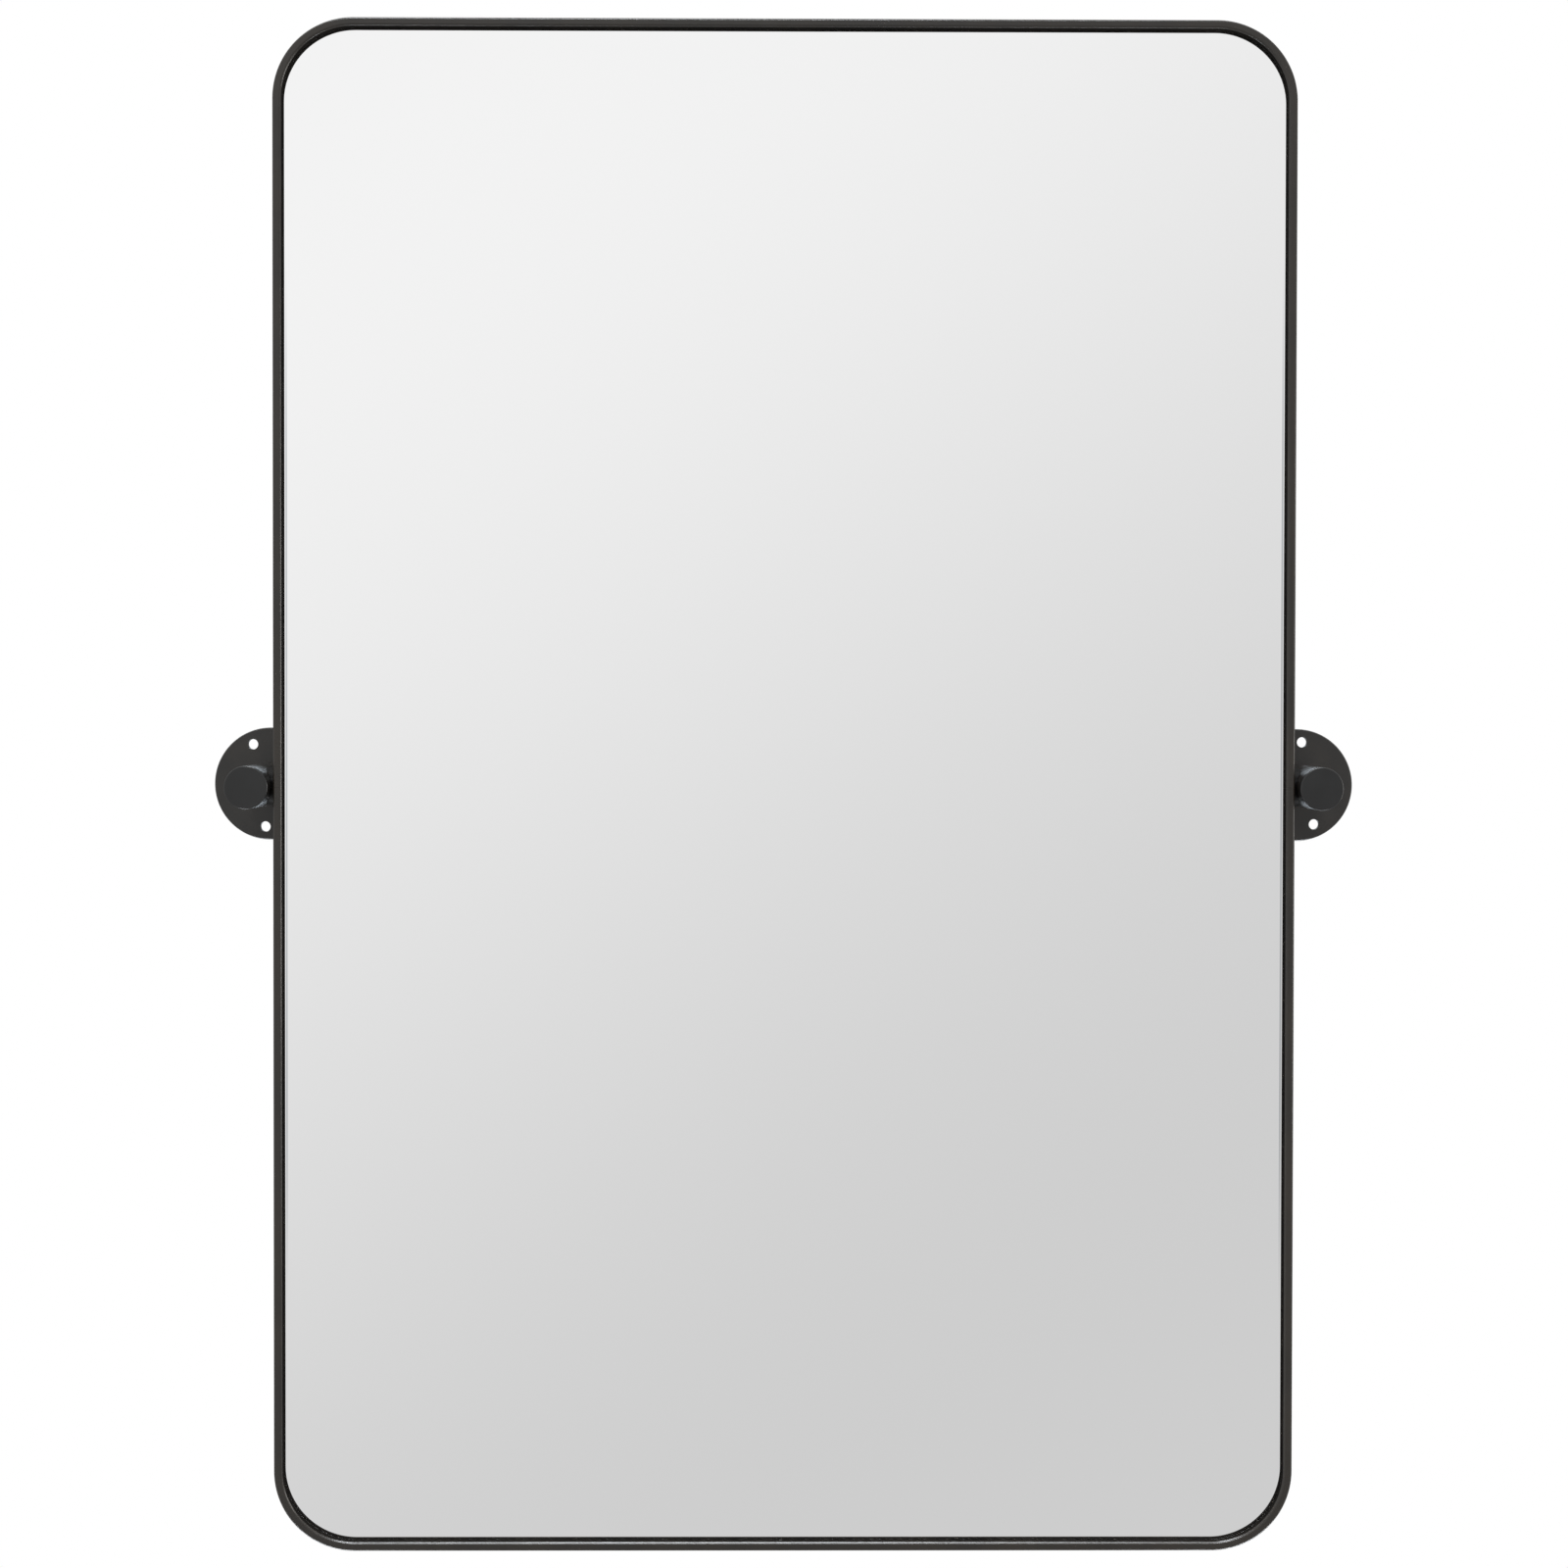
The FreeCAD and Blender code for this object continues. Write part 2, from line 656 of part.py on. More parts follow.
def make_post_screw(label, turned):
    """Countersunk screw that holds the post to its plate from behind."""
    shank = "(post_screw_diameter / 2 - thread_clearance)"
    head = "(post_screw_head_diameter / 2)"
    profile = [
        ("0", "-post_screw_recess"),
        ("0", "-post_screw_length"),
        (shank, "-post_screw_length"),
        (shank, f"-{POST_SCREW_NECK}"),
        (head, "-post_screw_recess"),
    ]
    body = turned_piece(label, "V_Axis", profile)
    socket = new_sketch(body, "XZ_Plane", "post_screw_recess + post_screw_socket_depth")
    hexagon(socket, "post_screw_socket_size")
    pocket(body, socket, "post_screw_socket_depth")
    place_at_post(body, turned)


make_frame_half("frame_upper", turned=False)
make_frame_half("frame_lower", turned=True)
make_gasket()
make_sheet("mirror_glass", GLASS_INSET, GLASS_BACK, "glass_thickness")
make_sheet("backing_film", f"({GLASS_INSET} + film_margin)", FILM_BACK, "film_thickness")
make_sheet("back_board", "(side_wall + board_clearance)", BOARD_BACK, "board_thickness")
make_setting_pads()
rail_middles = ["(-rail_spring_spacing / 2)", "(rail_spring_spacing / 2)"]
make_springs("rail_springs", "XY_Plane", HALF_HEIGHT, rail_middles)
stile_middles = [
    f"({sign}{middle})" for sign in ("-", "") for middle in (INNER_STILE_SPRING, OUTER_STILE_SPRING)
]
make_springs("stile_springs", "YZ_Plane", HALF_WIDTH, stile_middles)
for side, turned in (("left", True), ("right", False)):
    make_pivot_block(f"pivot_block_{side}", turned)
    make_block_screws(f"block_screws_{side}", turned)
    make_pivot_bolt(f"pivot_bolt_{side}", turned)
    make_ring(
        f"spring_washer_{side}",
        turned,
        WASHER_SEAT,
        f"({WASHER_SEAT} + spring_washer_thickness)",
        "(bolt_shoulder_diameter / 2 + spring_washer_clearance)",
        "(spring_washer_diameter / 2)",
    )
    make_bush(f"pivot_bush_{side}", turned)
    make_collar(f"saddle_collar_{side}", turned)
    make_post(f"post_{side}", turned)
    make_cap(f"post_cap_{side}", turned)
    make_wall_plate(f"wall_plate_{side}", turned)
    make_post_screw(f"post_screw_{side}", turned)
doc.recompute()

# Nothing is written unless every object and every solid is sound
failed = [item.Name for item in doc.Objects if {"Invalid", "Error"} & set(item.State)]
unsound = [body.Label for body in sub_parts if body.Shape.isNull() or not body.Shape.isValid()]
if failed or unsound:
    raise RuntimeError(f"failed objects: {failed}; unsound shapes: {unsound}")
os.makedirs("parts", exist_ok=True)
for body in sub_parts:
    body.Shape.exportStep(f"parts/{body.Label}.step")
    print(f"{body.Label}: {len(body.Shape.Solids)} solids, {body.Shape.Volume:.1f} mm3")
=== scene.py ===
import math
import bpy
from mathutils import Matrix, Vector


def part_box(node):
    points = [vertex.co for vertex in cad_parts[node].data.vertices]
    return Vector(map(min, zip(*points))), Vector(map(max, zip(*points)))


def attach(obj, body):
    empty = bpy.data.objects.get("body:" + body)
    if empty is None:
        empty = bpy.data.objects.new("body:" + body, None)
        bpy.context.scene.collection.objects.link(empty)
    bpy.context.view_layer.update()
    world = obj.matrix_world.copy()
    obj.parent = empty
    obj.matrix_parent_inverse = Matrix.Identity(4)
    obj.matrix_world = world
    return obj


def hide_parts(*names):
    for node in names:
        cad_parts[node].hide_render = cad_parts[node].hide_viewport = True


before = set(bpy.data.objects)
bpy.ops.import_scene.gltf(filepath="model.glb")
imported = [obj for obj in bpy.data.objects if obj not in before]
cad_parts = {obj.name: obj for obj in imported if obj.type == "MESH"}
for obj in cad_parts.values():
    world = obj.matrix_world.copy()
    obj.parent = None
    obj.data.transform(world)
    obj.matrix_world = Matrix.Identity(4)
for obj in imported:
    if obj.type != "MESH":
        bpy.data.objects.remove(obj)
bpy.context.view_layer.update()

# Camera, in metres and degrees; before it is turned it looks straight down
PICTURE_PIXELS = 1600
FOCAL_PIXELS = 2057.0
CENTRE_PIXEL = (804.98, 745.0)
CAMERA_PLACE = Vector((-0.00409, -1.26164, 0.04861))
CAMERA_PITCH = -0.6688
CAMERA_YAW = -0.3131
CAMERA_ROLL = -0.0957
LEVEL_TURN = 90

# The frame's corners and section as the construction has them, in metres, and how finely they are cut here
CORNER_RADIUS = 0.048
FACE_WIDTH = 0.0052
NOSE_DEPTH = 0.0044
SIDE_WALL = 0.002
LIP_WIDTH = 0.010
LIP_THICKNESS = 0.002
OUTER_ROUNDING = 0.0014
INNER_ROUNDING = 0.0016
REAR_ROUNDING = 0.0005
CORNER_STEPS = 48
ROUNDING_STEPS = 8

# Studio, in metres
GRADIENT_DIRECTION = (0.54, 0.0, -0.84)
GRADIENT_START = -0.342
GRADIENT_END = 0.352
GRADIENT_LIGHT = 0.943
GRADIENT_DARK = 0.643
SIDE_LIGHT = 1.0
SKY_LIGHT = 1.6
GROUND_LIGHT = 0.7
BACK_SHARE = 0.2
# Parts of a unit direction over which one light passes into the next
SKY_BLEND = (0.1, 0.6)
GROUND_BLEND = (-0.5, -0.1)
FRONT_BLEND = (0.0, -0.35)
BACK_BLEND = (0.1, 0.6)
FLOOR_HEIGHT = -1.4
FLOOR_RADIUS = 2.0
FLOOR_FADE_START = 1.2
FLOOR_SIDES = 128
COOL_WHITE = (0.92, 0.96, 1.0)
WARM_WHITE = (1.0, 0.97, 0.93)
SKY_WHITE = (0.80, 0.90, 1.0)
# Name, place, point looked at, size, watts, colour and fan of light in degrees
SOFTBOXES = (
    ("top_softbox", (0.0, -1.0, 1.5), (0.15, -0.06, -0.5), (1.4, 0.8), 5.6, COOL_WHITE, 33),
    ("side_softbox", (1.6, -0.52, -0.03), (-0.3, -0.52, -0.03), (0.35, 0.95), 9.0, WARM_WHITE, 180),
    ("low_left_softbox", (-0.68, -0.03, -1.2), (-0.68, -0.03, 0.0), (0.5, 0.2), 9.0, COOL_WHITE, 180),
    ("low_right_softbox", (0.68, -0.03, -1.2), (0.68, -0.03, 0.0), (0.5, 0.2), 9.0, COOL_WHITE, 180),
    ("upper_back_strip", (0.0, 0.58, 0.31), (0.0, -0.05, 0.0), (0.84, 0.12), 1.7, SKY_WHITE, 180),
    ("lower_back_strip", (0.0, 0.58, -0.31), (0.0, -0.05, 0.0), (0.84, 0.12), 1.75, SKY_WHITE, 180),
)

# Finishes, in metres and linear colour
MILLIMETRE = 0.001
COAT_SHINE = 0.5
# Specular level of the collars' coat, lowered so that it paints their shade
COLLAR_SHADE_SHINE = 0.12
# The most that the painted shade on the glass channel's walls takes over from the satin coat
WALL_SHADE_SHARE = 0.96
# Place, core, reach and heights of a darker line painted into the silver beside each stile as a reflection
SIDE_LINE_PLACE = 0.2979
SIDE_LINE_CORE = 0.0002
SIDE_LINE_REACH = 0.0007
SIDE_LINE_FULL_HEIGHT = 0.18
SIDE_LINE_FADED_HEIGHT = 0.33
# The values that noise mostly keeps within
NOISE_LOW, NOISE_HIGH = 0.3, 0.7
# Parts of a unit normal over which a rounding passes from the frame's front to a wall
ROUNDING_BLEND = (-0.45, -0.15)
# Parts of a unit normal over which a sheet's edge passes into its face
FACE_BLEND = (0.6, 0.9)
# Metres that a place lies out along its own normal, which are below 0 on what faces the frame's middle
INWARD_BLEND = (-0.1, 0.0)

# Sockets of the colour mix node
MIX_SHARE, MIX_FIRST, MIX_SECOND, MIX_RESULT = 0, 6, 7, 2


def add_node(tree, kind, inputs=None, **settings):
    """A shader node with its settings, and its inputs as values or as links from other sockets."""
    node = tree.nodes.new("ShaderNode" + kind)
    for name, value in settings.items():
        setattr(node, name, value)
    for name, value in (inputs or {}).items():
        if isinstance(value, bpy.types.NodeSocket):
            tree.links.new(value, node.inputs[name])
        else:
            node.inputs[name].default_value = value
    return node


def math_node(tree, operation, first, second=0.0):
    return add_node(tree, "Math", {0: first, 1: second}, operation=operation).outputs[0]


def vector_node(tree, operation, output, first, second=(0, 0, 0)):
    return add_node(tree, "VectorMath", {0: first, 1: second}, operation=operation).outputs[output]


def remap(tree, value, low, high, start, end, smooth=False):
    """The value's way from low to high, drawn out from start to end and held beyond them."""
    kind = "SMOOTHSTEP" if smooth else "LINEAR"
    ends = {"Value": value, "From Min": low, "From Max": high, "To Min": start, "To Max": end}
    return add_node(tree, "MapRange", ends, interpolation_type=kind).outputs["Result"]


def share(tree, value, low, high):
    """0 up to low, 1 from high on, and even between them."""
    return remap(tree, value, low, high, 0.0, 1.0)


def spread(tree, pattern, start, end):
    """Noise drawn out from start to end."""
    return remap(tree, pattern, NOISE_LOW, NOISE_HIGH, start, end)


def mix_colours(tree, part, first, second):
    sockets = {MIX_SHARE: part, MIX_FIRST: first, MIX_SECOND: second}
    return add_node(tree, "Mix", sockets, data_type="RGBA").outputs[MIX_RESULT]


def object_place(tree):
    return add_node(tree, "TexCoord").outputs["Object"]


def object_normal(tree):
    return add_node(tree, "TexCoord").outputs["Normal"]


def axis_values(tree, vector):
    return add_node(tree, "SeparateXYZ", {0: vector}).outputs


def noise(tree, grain, detail=2.0, stretch=(1, 1, 1)):
    """Noise in the piece's own place, with grains of one length, in metres, drawn out along the axes."""
    scale = [1 / (grain * times) for times in stretch]
    place = add_node(tree, "Mapping", {"Vector": object_place(tree), "Scale": scale}).outputs[0]
    return add_node(tree, "TexNoise", {"Vector": place, "Scale": 1.0, "Detail": detail}).outputs[0]


def weave(tree, axis, pitch):
    """Rounded ridges across one axis, with their pitch in metres."""
    place = axis_values(tree, object_place(tree))[axis]
    turns = math_node(tree, "MULTIPLY", place, 2 * math.pi / pitch)
    return math_node(tree, "ABSOLUTE", math_node(tree, "SINE", turns))


def new_finish(name, **values):
    """A material with one surface shader whose even values are set on its own sockets."""
    material = bpy.data.materials.new(name)
    material.use_nodes = True
    tree = material.node_tree
    shader = tree.nodes["Principled BSDF"]
    for socket, value in values.items():
        shader.inputs[socket.replace("_", " ")].default_value = value
    return material, tree, shader


def set_colour(tree, shader, colour):
    tree.links.new(colour, shader.inputs["Base Color"])


def set_roughness(tree, shader, value):
    tree.links.new(value, shader.inputs["Roughness"])


def add_bump(tree, shader, height, depth):
    """Relief of the given depth, in metres."""
    bump = add_node(tree, "Bump", {"Height": height, "Distance": depth, "Strength": 1.0})
    tree.links.new(bump.outputs["Normal"], shader.inputs["Normal"])


def blend_shaders(tree, part, first, second):
    """The surface shows the first shader, and the second where its part is 1."""
    blend = add_node(tree, "MixShader", {0: part, 1: first.outputs[0], 2: second.outputs[0]})
    tree.links.new(blend.outputs[0], tree.nodes["Material Output"].inputs["Surface"])


def grey(value, warmth=0.0):
    """A linear colour that leans to red by its warmth, or to blue below zero."""
    return (value * (1 + warmth), value, value * (1 - warmth), 1.0)


def channel_shade_share(tree):
    """Where the channel's painted shade goes: high on the walls that face the middle of the frame, 0 on its
    front, outer sides and roundings.
    """
    place = axis_values(tree, object_place(tree))
    facing = axis_values(tree, object_normal(tree))
    across = math_node(tree, "MULTIPLY", place["X"], facing["X"])
    upward = math_node(tree, "MULTIPLY", place["Z"], facing["Z"])
    outward = math_node(tree, "ADD", across, upward)
    inward = remap(tree, outward, *INWARD_BLEND, 1.0, 0.0)
    upright = remap(tree, facing["Y"], *ROUNDING_BLEND, 0.0, WALL_SHADE_SHARE, smooth=True)
    return math_node(tree, "MULTIPLY", inward, upright)


def frame_coat():
    """Satin black powder coat, with a darker dull coat on the walls of the glass channel that paints the
    shade of that recess.
    """
    material, tree, shader = new_finish("frame_coat")
    mottle = share(tree, noise(tree, 35 * MILLIMETRE, 3.0), 0.35, 0.65)
    set_colour(tree, shader, mix_colours(tree, mottle, grey(0.006, 0.30), grey(0.009, 0.35)))
    set_roughness(tree, shader, spread(tree, noise(tree, 9 * MILLIMETRE), 0.28, 0.36))
    add_bump(tree, shader, noise(tree, 0.8 * MILLIMETRE, 3.0), 0.01 * MILLIMETRE)
    # A darker, dull coat that stands in for the shade inside the glass channel
    painted_shade_coat = mix_colours(tree, mottle, grey(0.004, 0.1), grey(0.007, 0.14))
    dull = add_node(tree, "BsdfDiffuse", {"Color": painted_shade_coat})
    blend_shaders(tree, channel_shade_share(tree), shader, dull)
    return material


def bracket_coat(name, dark, light, shine):
    """Smoother black paint on the cast and pressed steel of the wall brackets."""
    material, tree, shader = new_finish(name, Specular_IOR_Level=shine)
    mottle = share(tree, noise(tree, 18 * MILLIMETRE, 3.0), 0.35, 0.65)
    set_colour(tree, shader, mix_colours(tree, mottle, dark, light))
    set_roughness(tree, shader, spread(tree, noise(tree, 6 * MILLIMETRE), 0.30, 0.36))
    add_bump(tree, shader, noise(tree, 0.6 * MILLIMETRE), 0.006 * MILLIMETRE)
    return material


def side_reflection_line(tree):
    """1 on a fine line of painted reflection in the silver beside each stile, which fades out towards the
    corners.
    """
    place = axis_values(tree, object_place(tree))
    across = math_node(tree, "ABSOLUTE", place["X"])
    away = math_node(tree, "ABSOLUTE", math_node(tree, "SUBTRACT", across, SIDE_LINE_PLACE))
    line = remap(tree, away, SIDE_LINE_CORE, SIDE_LINE_REACH, 1.0, 0.0, smooth=True)
    height = math_node(tree, "ABSOLUTE", place["Z"])
    fade = remap(tree, height, SIDE_LINE_FULL_HEIGHT, SIDE_LINE_FADED_HEIGHT, 1.0, 0.0, smooth=True)
    return math_node(tree, "MULTIPLY", line, fade)


def mirror():
    """Silvered glass: a bright front, green cut edges and grey paint behind the silver."""
    material, tree, shader = new_finish("mirror")
    facing = axis_values(tree, object_normal(tree))["Y"]
    edge_end, face_start = FACE_BLEND
    front = remap(tree, facing, -face_start, -edge_end, 1.0, 0.0)
    behind = share(tree, facing, edge_end, face_start)
    # The silver turns greyer along the side line: a painted reflection
    silver = mix_colours(tree, side_reflection_line(tree), grey(0.95), grey(0.58, -0.03))
    paint = mix_colours(tree, noise(tree, 25 * MILLIMETRE, 4.0), grey(0.16, -0.05), grey(0.24, -0.05))
    edge = mix_colours(tree, noise(tree, 4 * MILLIMETRE), (0.05, 0.16, 0.11, 1), (0.12, 0.30, 0.22, 1))
    dull = mix_colours(tree, behind, edge, paint)
    set_colour(tree, shader, mix_colours(tree, front, dull, silver))
    tree.links.new(front, shader.inputs["Metallic"])
    haze = remap(tree, noise(tree, 60 * MILLIMETRE, 4.0), 0.4, 0.7, 0.0, 0.012)
    set_roughness(tree, shader, math_node(tree, "ADD", haze, remap(tree, front, 0, 1, 0.45, 0.0)))
    return material


def rubber():
    """Black extruded rubber, dusty and finely grained."""
    material, tree, shader = new_finish("rubber")
    dust = noise(tree, 5 * MILLIMETRE, 4.0)
    set_colour(tree, shader, mix_colours(tree, dust, grey(0.012), grey(0.030, 0.02)))
    set_roughness(tree, shader, spread(tree, dust, 0.7, 0.85))
    add_bump(tree, shader, noise(tree, 0.5 * MILLIMETRE), 0.03 * MILLIMETRE)
    return material


def film():
    """Pale safety film with a crossed thread in it."""
    material, tree, shader = new_finish("film")
    cloud = noise(tree, 30 * MILLIMETRE, 3.0)
    set_colour(tree, shader, mix_colours(tree, cloud, grey(0.46, -0.08), grey(0.58, -0.06)))
    set_roughness(tree, shader, spread(tree, cloud, 0.30, 0.45))
    threads = [weave(tree, axis, 2.5 * MILLIMETRE) for axis in "XZ"]
    add_bump(tree, shader, math_node(tree, "MAXIMUM", *threads), 0.05 * MILLIMETRE)
    return material


def hardboard():
    """Brown pressed fibre with flecks, and the mark of the press's wire screen on it."""
    material, tree, shader = new_finish("hardboard")
    cloud = spread(tree, noise(tree, 55 * MILLIMETRE, 4.0), 0.0, 1.0)
    fibre = share(tree, noise(tree, 1.6 * MILLIMETRE, 4.0, (3, 1, 1)), 0.45, 0.72)
    board = mix_colours(tree, cloud, (0.150, 0.082, 0.042, 1), (0.205, 0.118, 0.062, 1))
    set_colour(tree, shader, mix_colours(tree, fibre, board, (0.30, 0.19, 0.11, 1)))
    set_roughness(tree, shader, remap(tree, fibre, 0.0, 1.0, 0.62, 0.82))
    wires = [weave(tree, axis, 3.2 * MILLIMETRE) for axis in "XZ"]
    screen = math_node(tree, "MULTIPLY", *wires)
    add_bump(tree, shader, math_node(tree, "ADD", screen, fibre), 0.12 * MILLIMETRE)
    return material


def spring_steel(name, along):
    """Blued strip steel with rolling lines along its length."""
    material, tree, shader = new_finish(name, Metallic=1.0)
    lines = noise(tree, 0.25 * MILLIMETRE, 3.0, along)
    tarnish = share(tree, noise(tree, 14 * MILLIMETRE, 3.0), 0.35, 0.7)
    bright = mix_colours(tree, lines, grey(0.40, -0.03), grey(0.58, -0.02))
    set_colour(tree, shader, mix_colours(tree, tarnish, bright, (0.30, 0.31, 0.36, 1)))
    set_roughness(tree, shader, spread(tree, lines, 0.26, 0.42))
    add_bump(tree, shader, lines, 0.01 * MILLIMETRE)
    return material


def zinc_steel():
    """Zinc plated steel: cloudy crystals, with a faint straw and blue cast."""
    material, tree, shader = new_finish("zinc_steel", Metallic=1.0)
    crystals = noise(tree, 3 * MILLIMETRE, 3.0)
    cast = share(tree, noise(tree, 11 * MILLIMETRE), 0.35, 0.65)
    plate = mix_colours(tree, cast, (0.60, 0.61, 0.64, 1), (0.64, 0.62, 0.57, 1))
    set_colour(tree, shader, mix_colours(tree, crystals, grey(0.48), plate))
    set_roughness(tree, shader, spread(tree, crystals, 0.25, 0.45))
    add_bump(tree, shader, noise(tree, 0.4 * MILLIMETRE), 0.01 * MILLIMETRE)
    return material


def black_steel():
    """Blackened screw steel, oiled, with lighter handling marks."""
    material, tree, shader = new_finish("black_steel", Metallic=1.0)
    marks = share(tree, noise(tree, 2 * MILLIMETRE, 4.0), 0.5, 0.75)
    set_colour(tree, shader, mix_colours(tree, marks, grey(0.045), grey(0.11, 0.03)))
    set_roughness(tree, shader, spread(tree, noise(tree, 3 * MILLIMETRE), 0.28, 0.42))
    add_bump(tree, shader, noise(tree, 0.3 * MILLIMETRE), 0.008 * MILLIMETRE)
    return material


def black_nylon():
    """Moulded black nylon with a fine matt grain."""
    material, tree, shader = new_finish("black_nylon")
    flow = noise(tree, 6 * MILLIMETRE, 3.0, (1, 1, 3))
    set_colour(tree, shader, mix_colours(tree, flow, grey(0.010), grey(0.018, 0.02)))
    set_roughness(tree, shader, spread(tree, flow, 0.42, 0.55))
    add_bump(tree, shader, noise(tree, 0.35 * MILLIMETRE), 0.02 * MILLIMETRE)
    return material


def rounding(centre, radius, start, end):
    """Points on a quarter circle of the section, each with the way it faces, between angles in degrees."""
    points = []
    for step in range(ROUNDING_STEPS + 1):
        angle = math.radians(start + (end - start) * step / ROUNDING_STEPS)
        facing = Vector((math.cos(angle), math.sin(angle)))
        points.append((Vector(centre) + radius * facing, facing))
    return points


def flat_run(facing, *points):
    """Points of the section that all face one way."""
    return [(Vector(point), Vector(facing)) for point in points]


def frame_section(back, front):
    """The closed section in runs without a sharp edge, with each point's inset, reach and way it faces."""
    inward, ahead, rearward = (1, 0), (0, 1), (0, -1)
    nose_back, lip_front = front - NOSE_DEPTH, back + LIP_THICKNESS
    skin = [
        *flat_run(rearward, (LIP_WIDTH, back)),
        *rounding((REAR_ROUNDING, back + REAR_ROUNDING), REAR_ROUNDING, -90, -180),
        *rounding((OUTER_ROUNDING, front - OUTER_ROUNDING), OUTER_ROUNDING, 180, 90),
        *rounding((FACE_WIDTH - INNER_ROUNDING, front - INNER_ROUNDING), INNER_ROUNDING, 90, 0),
        *flat_run(inward, (FACE_WIDTH, nose_back)),
    ]
    return [
        skin,
        flat_run(rearward, (FACE_WIDTH, nose_back), (SIDE_WALL, nose_back)),
        flat_run(inward, (SIDE_WALL, nose_back), (SIDE_WALL, lip_front)),
        flat_run(ahead, (SIDE_WALL, lip_front), (LIP_WIDTH, lip_front)),
        flat_run(inward, (LIP_WIDTH, lip_front), (LIP_WIDTH, back)),
    ]


def section_sides(section):
    """Each side of the section as the numbers of its two points, with the way the skin faces at either."""
    count = sum(len(run) - 1 for run in section)
    sides = []
    for run in section:
        for (_, start_facing), (_, end_facing) in zip(run, run[1:]):
            start = len(sides)
            sides.append((start, (start + 1) % count, start_facing, end_facing))
    return sides


def half_outline(half_width, foot, top):
    """Up one stile, over the rail and down the other: places on the outline, each with its way outward."""
    stations = [(Vector((half_width, foot)), Vector((1, 0)))]
    for side, start in ((1, 0), (-1, 90)):
        centre = Vector((side * (half_width - CORNER_RADIUS), top - CORNER_RADIUS))
        for step in range(CORNER_STEPS + 1):
            angle = math.radians(start + 90 * step / CORNER_STEPS)
            outward = Vector((math.cos(angle), math.sin(angle)))
            stations.append((centre + CORNER_RADIUS * outward, outward))
    stations.append((Vector((-half_width, foot)), Vector((-1, 0))))
    return stations


def make_frame_half(name, node, turn, finish):
    """One half of the frame with finely cut corners, in its node's place. Turn is -1 for the lower half."""
    low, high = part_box("frame_upper")
    section = frame_section(-high[1], -low[1])
    ring = [spot for run in section for spot, facing in run[:-1]]
    sides = section_sides(section)
    stations = half_outline(high[0], low[2], high[2])
    points = []
    for place, outward in stations:
        for inset, reach in ring:
            across, height = place - inset * outward
            points.append((turn * across, -reach, turn * height))

    def direction(facing, outward):
        return (-turn * facing.x * outward.x, -facing.y, -turn * facing.x * outward.y)

    count, last = len(ring), len(stations) - 1
    faces = [list(range(count)), [last * count + spot for spot in reversed(range(count))]]
    normals = [(0, 0, -turn)] * (2 * count)
    for station in range(last):
        here, there = station * count, (station + 1) * count
        ways = stations[station][1], stations[station + 1][1]
        for start, end, start_facing, end_facing in sides:
            faces.append([here + start, there + start, there + end, here + end])
            normals += [direction(start_facing, way) for way in ways]
            normals += [direction(end_facing, way) for way in reversed(ways)]
    mesh = bpy.data.meshes.new(name)
    mesh.from_pydata(points, [], faces)
    mesh.shade_smooth()
    mesh.normals_split_custom_set(normals)
    mesh.materials.append(finish)
    half = bpy.data.objects.new(name, mesh)
    bpy.context.scene.collection.objects.link(half)
    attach(half, "mirror")
    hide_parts(node)


def dress_nodes():
    """Each piece takes the finish of its material slot, unless it has one of its own."""
    makers = (frame_coat, mirror, rubber, film, hardboard, zinc_steel, black_steel, black_nylon)
    finishes = {maker.__name__: maker() for maker in makers}
    finishes["bracket_coat"] = bracket_coat(
        "bracket_coat", grey(0.006, 0.15), grey(0.010, 0.20), COAT_SHINE
    )
    finishes["spring_steel"] = spring_steel("washer_spring_steel", (1, 6, 6))
    cap_coat = bracket_coat("cap_coat", grey(0.001), grey(0.003, -0.05), COAT_SHINE)
    # The collars take a near-black, less shiny coat: painted shade for the shadow between post and frame
    collar_shade_coat = bracket_coat("collar_shade_coat", grey(0.001), grey(0.003, 0.1), COLLAR_SHADE_SHINE)
    own_finishes = {
        "post_cap_left": cap_coat,
        "post_cap_right": cap_coat,
        "saddle_collar_left": collar_shade_coat,
        "saddle_collar_right": collar_shade_coat,
        "rail_springs": spring_steel("rail_spring_steel", (80, 1, 1)),
        "stile_springs": spring_steel("stile_spring_steel", (1, 1, 80)),
    }
    for name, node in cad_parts.items():
        slot = node.material_slots[0]
        # A packed material is named after its slot, with a number behind a dot where the name is taken
        kind = slot.material.name.split(".")[0]
        slot.material = own_finishes.get(name, finishes[kind])
    make_frame_half("frame_upper_fine", "frame_upper", 1, finishes["frame_coat"])
    make_frame_half("frame_lower_fine", "frame_lower", -1, finishes["frame_coat"])


def make_world():
    """White to the eye, with a soft diagonal shade in front of the mirror for it to show."""
    world = bpy.data.worlds.new("studio")
    world.use_nodes = True
    bpy.context.scene.world = world
    tree = world.node_tree
    direction = add_node(tree, "TexCoord").outputs["Generated"]
    slope = vector_node(tree, "DOT_PRODUCT", "Value", direction, GRADIENT_DIRECTION)
    shade = remap(tree, slope, GRADIENT_START, GRADIENT_END, GRADIENT_LIGHT, GRADIENT_DARK, smooth=True)
    axes = axis_values(tree, direction)
    front = remap(tree, axes["Y"], *FRONT_BLEND, 0.0, 1.0, smooth=True)
    behind = remap(tree, axes["Y"], *BACK_BLEND, 1.0, BACK_SHARE, smooth=True)
    upper = remap(tree, axes["Z"], *SKY_BLEND, SIDE_LIGHT, SKY_LIGHT, smooth=True)
    lower = remap(tree, axes["Z"], *GROUND_BLEND, GROUND_LIGHT / SIDE_LIGHT, 1.0, smooth=True)
    surround = math_node(tree, "MULTIPLY", math_node(tree, "MULTIPLY", upper, lower), behind)
    light = mix_colours(tree, front, surround, shade)
    seen = add_node(tree, "LightPath").outputs["Is Camera Ray"]
    background = tree.nodes["Background"]
    tree.links.new(mix_colours(tree, seen, light, grey(1.0)), background.inputs["Color"])


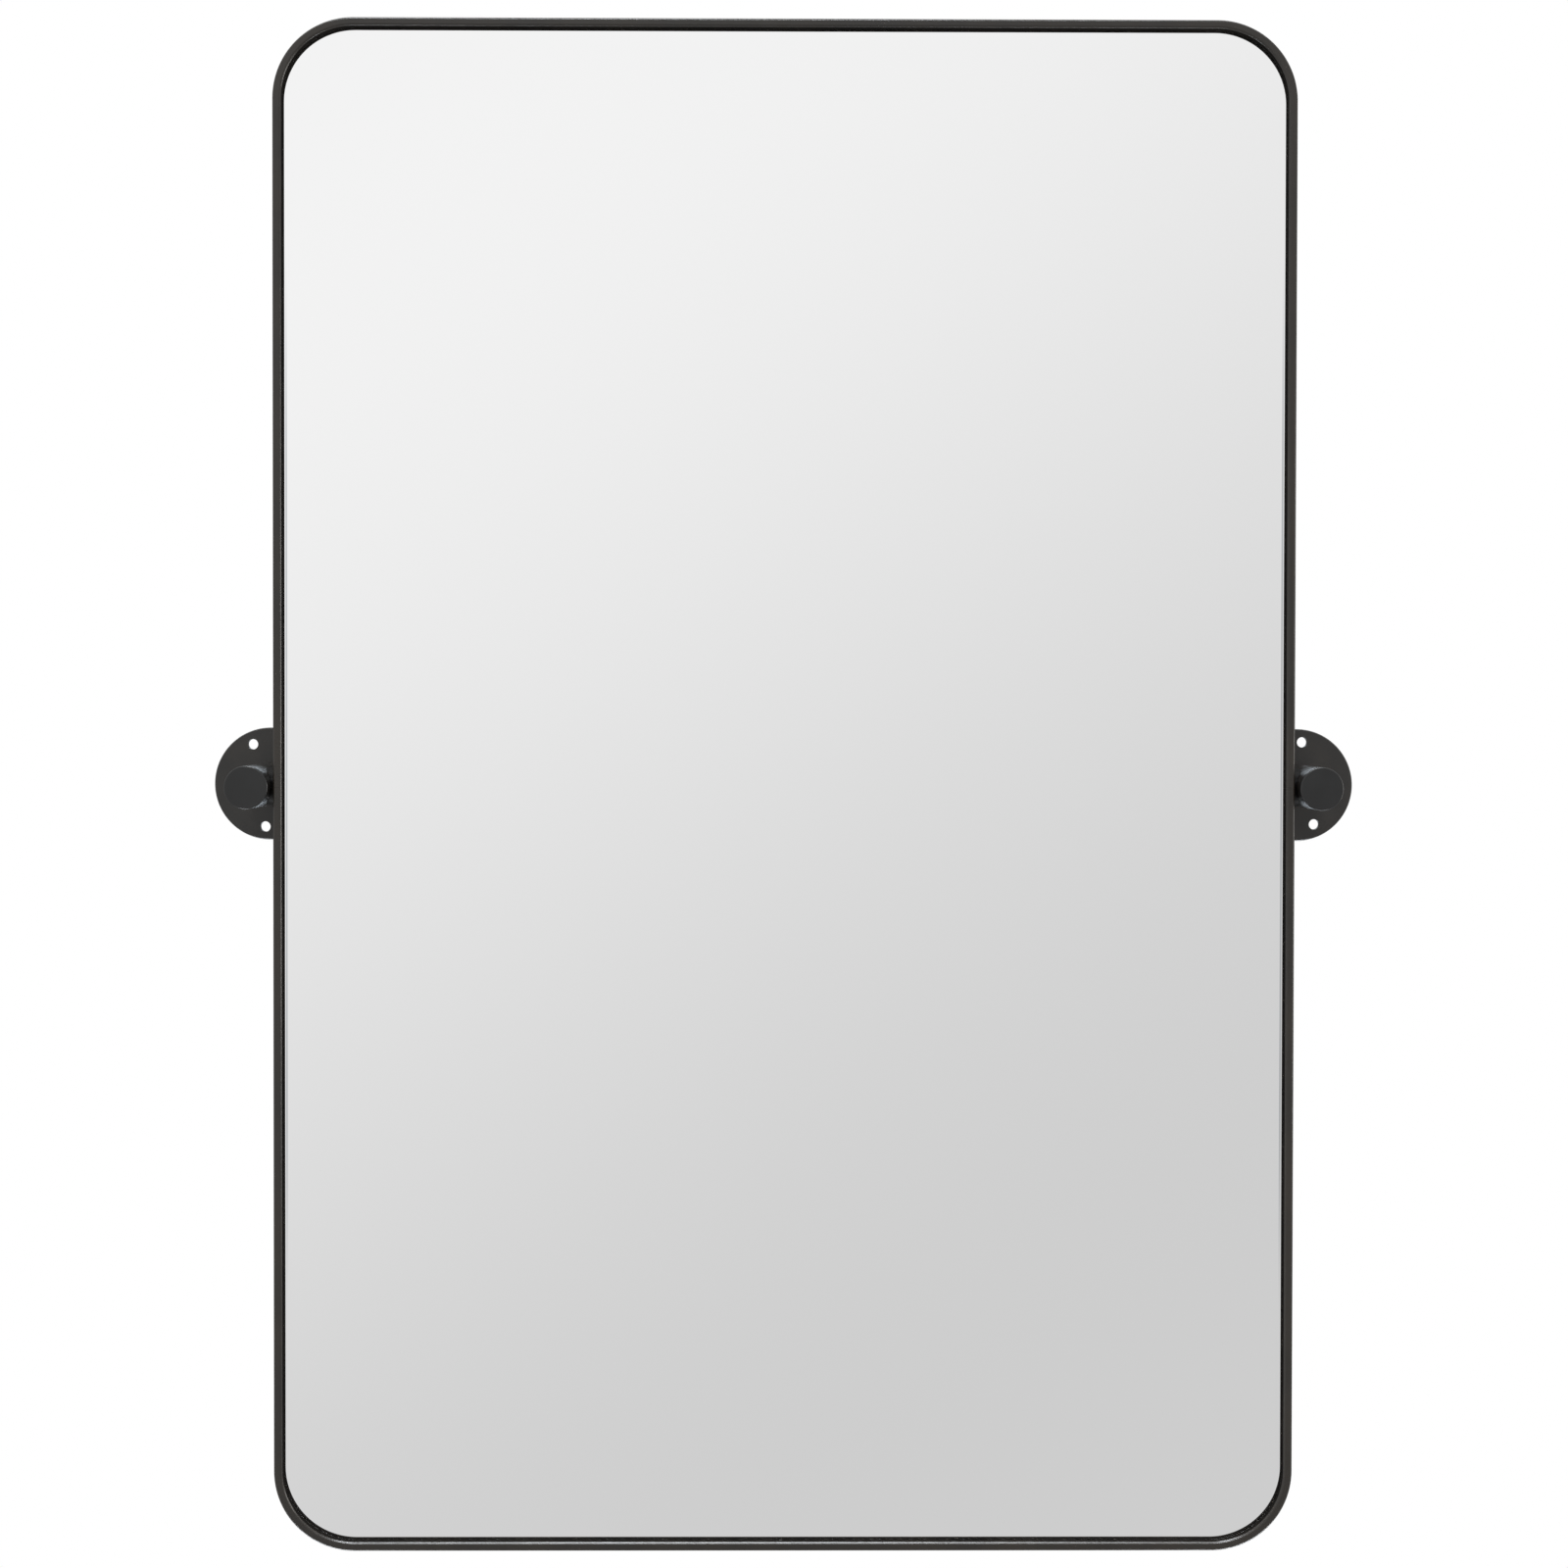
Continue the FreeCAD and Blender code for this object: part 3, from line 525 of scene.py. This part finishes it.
def make_softbox(name, place, target, size, watts, colour, fan):
    """A soft rectangular lamp that looks at a point and isn't seen itself."""
    lamp = bpy.data.lights.new(name, "AREA")
    lamp.shape = "RECTANGLE"
    lamp.size, lamp.size_y = size
    lamp.energy = watts
    lamp.color = colour
    lamp.spread = math.radians(fan)
    softbox = bpy.data.objects.new(name, lamp)
    softbox.location = place
    softbox.rotation_euler = (Vector(target) - Vector(place)).to_track_quat("-Z", "Y").to_euler()
    softbox.visible_camera = False
    bpy.context.scene.collection.objects.link(softbox)


def make_floor():
    """A round pale floor below the hung mirror, which fades into the white round it."""
    ring = [2 * math.pi * step / FLOOR_SIDES for step in range(FLOOR_SIDES)]
    corners = [(FLOOR_RADIUS * math.cos(a), FLOOR_RADIUS * math.sin(a), FLOOR_HEIGHT) for a in ring]
    mesh = bpy.data.meshes.new("floor")
    mesh.from_pydata(corners, [], [range(FLOOR_SIDES)])
    floor = bpy.data.objects.new("floor", mesh)
    bpy.context.scene.collection.objects.link(floor)
    material, tree, shader = new_finish("floor_paint", Roughness=0.6)
    set_colour(tree, shader, mix_colours(tree, noise(tree, 400 * MILLIMETRE, 3.0), grey(0.78), grey(0.82)))
    flat = vector_node(tree, "MULTIPLY", "Vector", object_place(tree), (1, 1, 0))
    reach = vector_node(tree, "LENGTH", "Value", flat)
    fade = remap(tree, reach, FLOOR_FADE_START, FLOOR_RADIUS, 0.0, 1.0, smooth=True)
    blend_shaders(tree, fade, shader, add_node(tree, "Emission"))
    mesh.materials.append(material)
    floor.visible_glossy = False


def make_camera():
    """The eye point, turn and lens that put the frame's corners where the picture has them."""
    data = bpy.data.cameras.new("camera")
    data.lens = data.sensor_width * FOCAL_PIXELS / PICTURE_PIXELS
    data.shift_x = 0.5 - CENTRE_PIXEL[0] / PICTURE_PIXELS
    data.shift_y = CENTRE_PIXEL[1] / PICTURE_PIXELS - 0.5
    camera = bpy.data.objects.new("camera", data)
    bpy.context.scene.collection.objects.link(camera)
    turns = ((CAMERA_YAW, "Z"), (CAMERA_PITCH, "X"), (CAMERA_ROLL, "Y"), (LEVEL_TURN, "X"))
    turned = Matrix.Identity(4)
    for angle, axis in turns:
        turned = turned @ Matrix.Rotation(math.radians(angle), 4, axis)
    camera.matrix_world = Matrix.Translation(CAMERA_PLACE) @ turned
    bpy.context.scene.camera = camera


bpy.context.scene.view_settings.view_transform = "Standard"
dress_nodes()
make_world()
for softbox in SOFTBOXES:
    make_softbox(*softbox)
make_floor()
make_camera()
